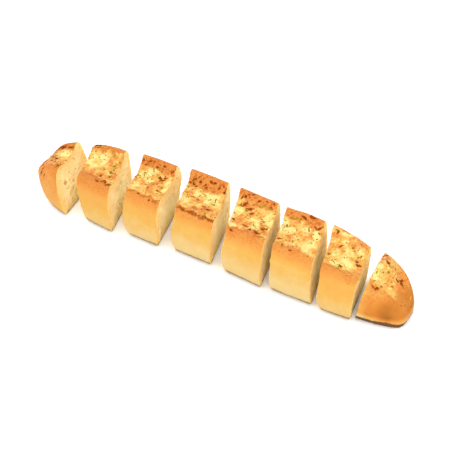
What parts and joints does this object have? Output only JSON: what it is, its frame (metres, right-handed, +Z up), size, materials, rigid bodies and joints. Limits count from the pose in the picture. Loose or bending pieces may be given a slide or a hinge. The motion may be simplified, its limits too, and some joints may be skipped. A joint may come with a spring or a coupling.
{
  "type": "baguette",
  "caption": "Garlic baguette cut across into short upright chunks that stand in a loose row, with rounded ends and a scored top under baked cheese and herbs.",
  "frame": {"origin": "middle of the row's footprint, on the surface that the bread stands on", "axes": "+X along the row to its right end, +Y to the back, where the score's flap stands highest, +Z up"},
  "size_m": [0.413, 0.0772, 0.0599],
  "materials": {
    "bread": "matte baked crust"
  },
  "bodies": {
    "root": {"end_piece_left": "bread", "slice_1": "bread", "slice_2": "bread", "slice_3": "bread", "slice_4": "bread", "slice_5": "bread", "slice_6": "bread", "end_piece_right": "bread"}
  },
  "joints": []
}
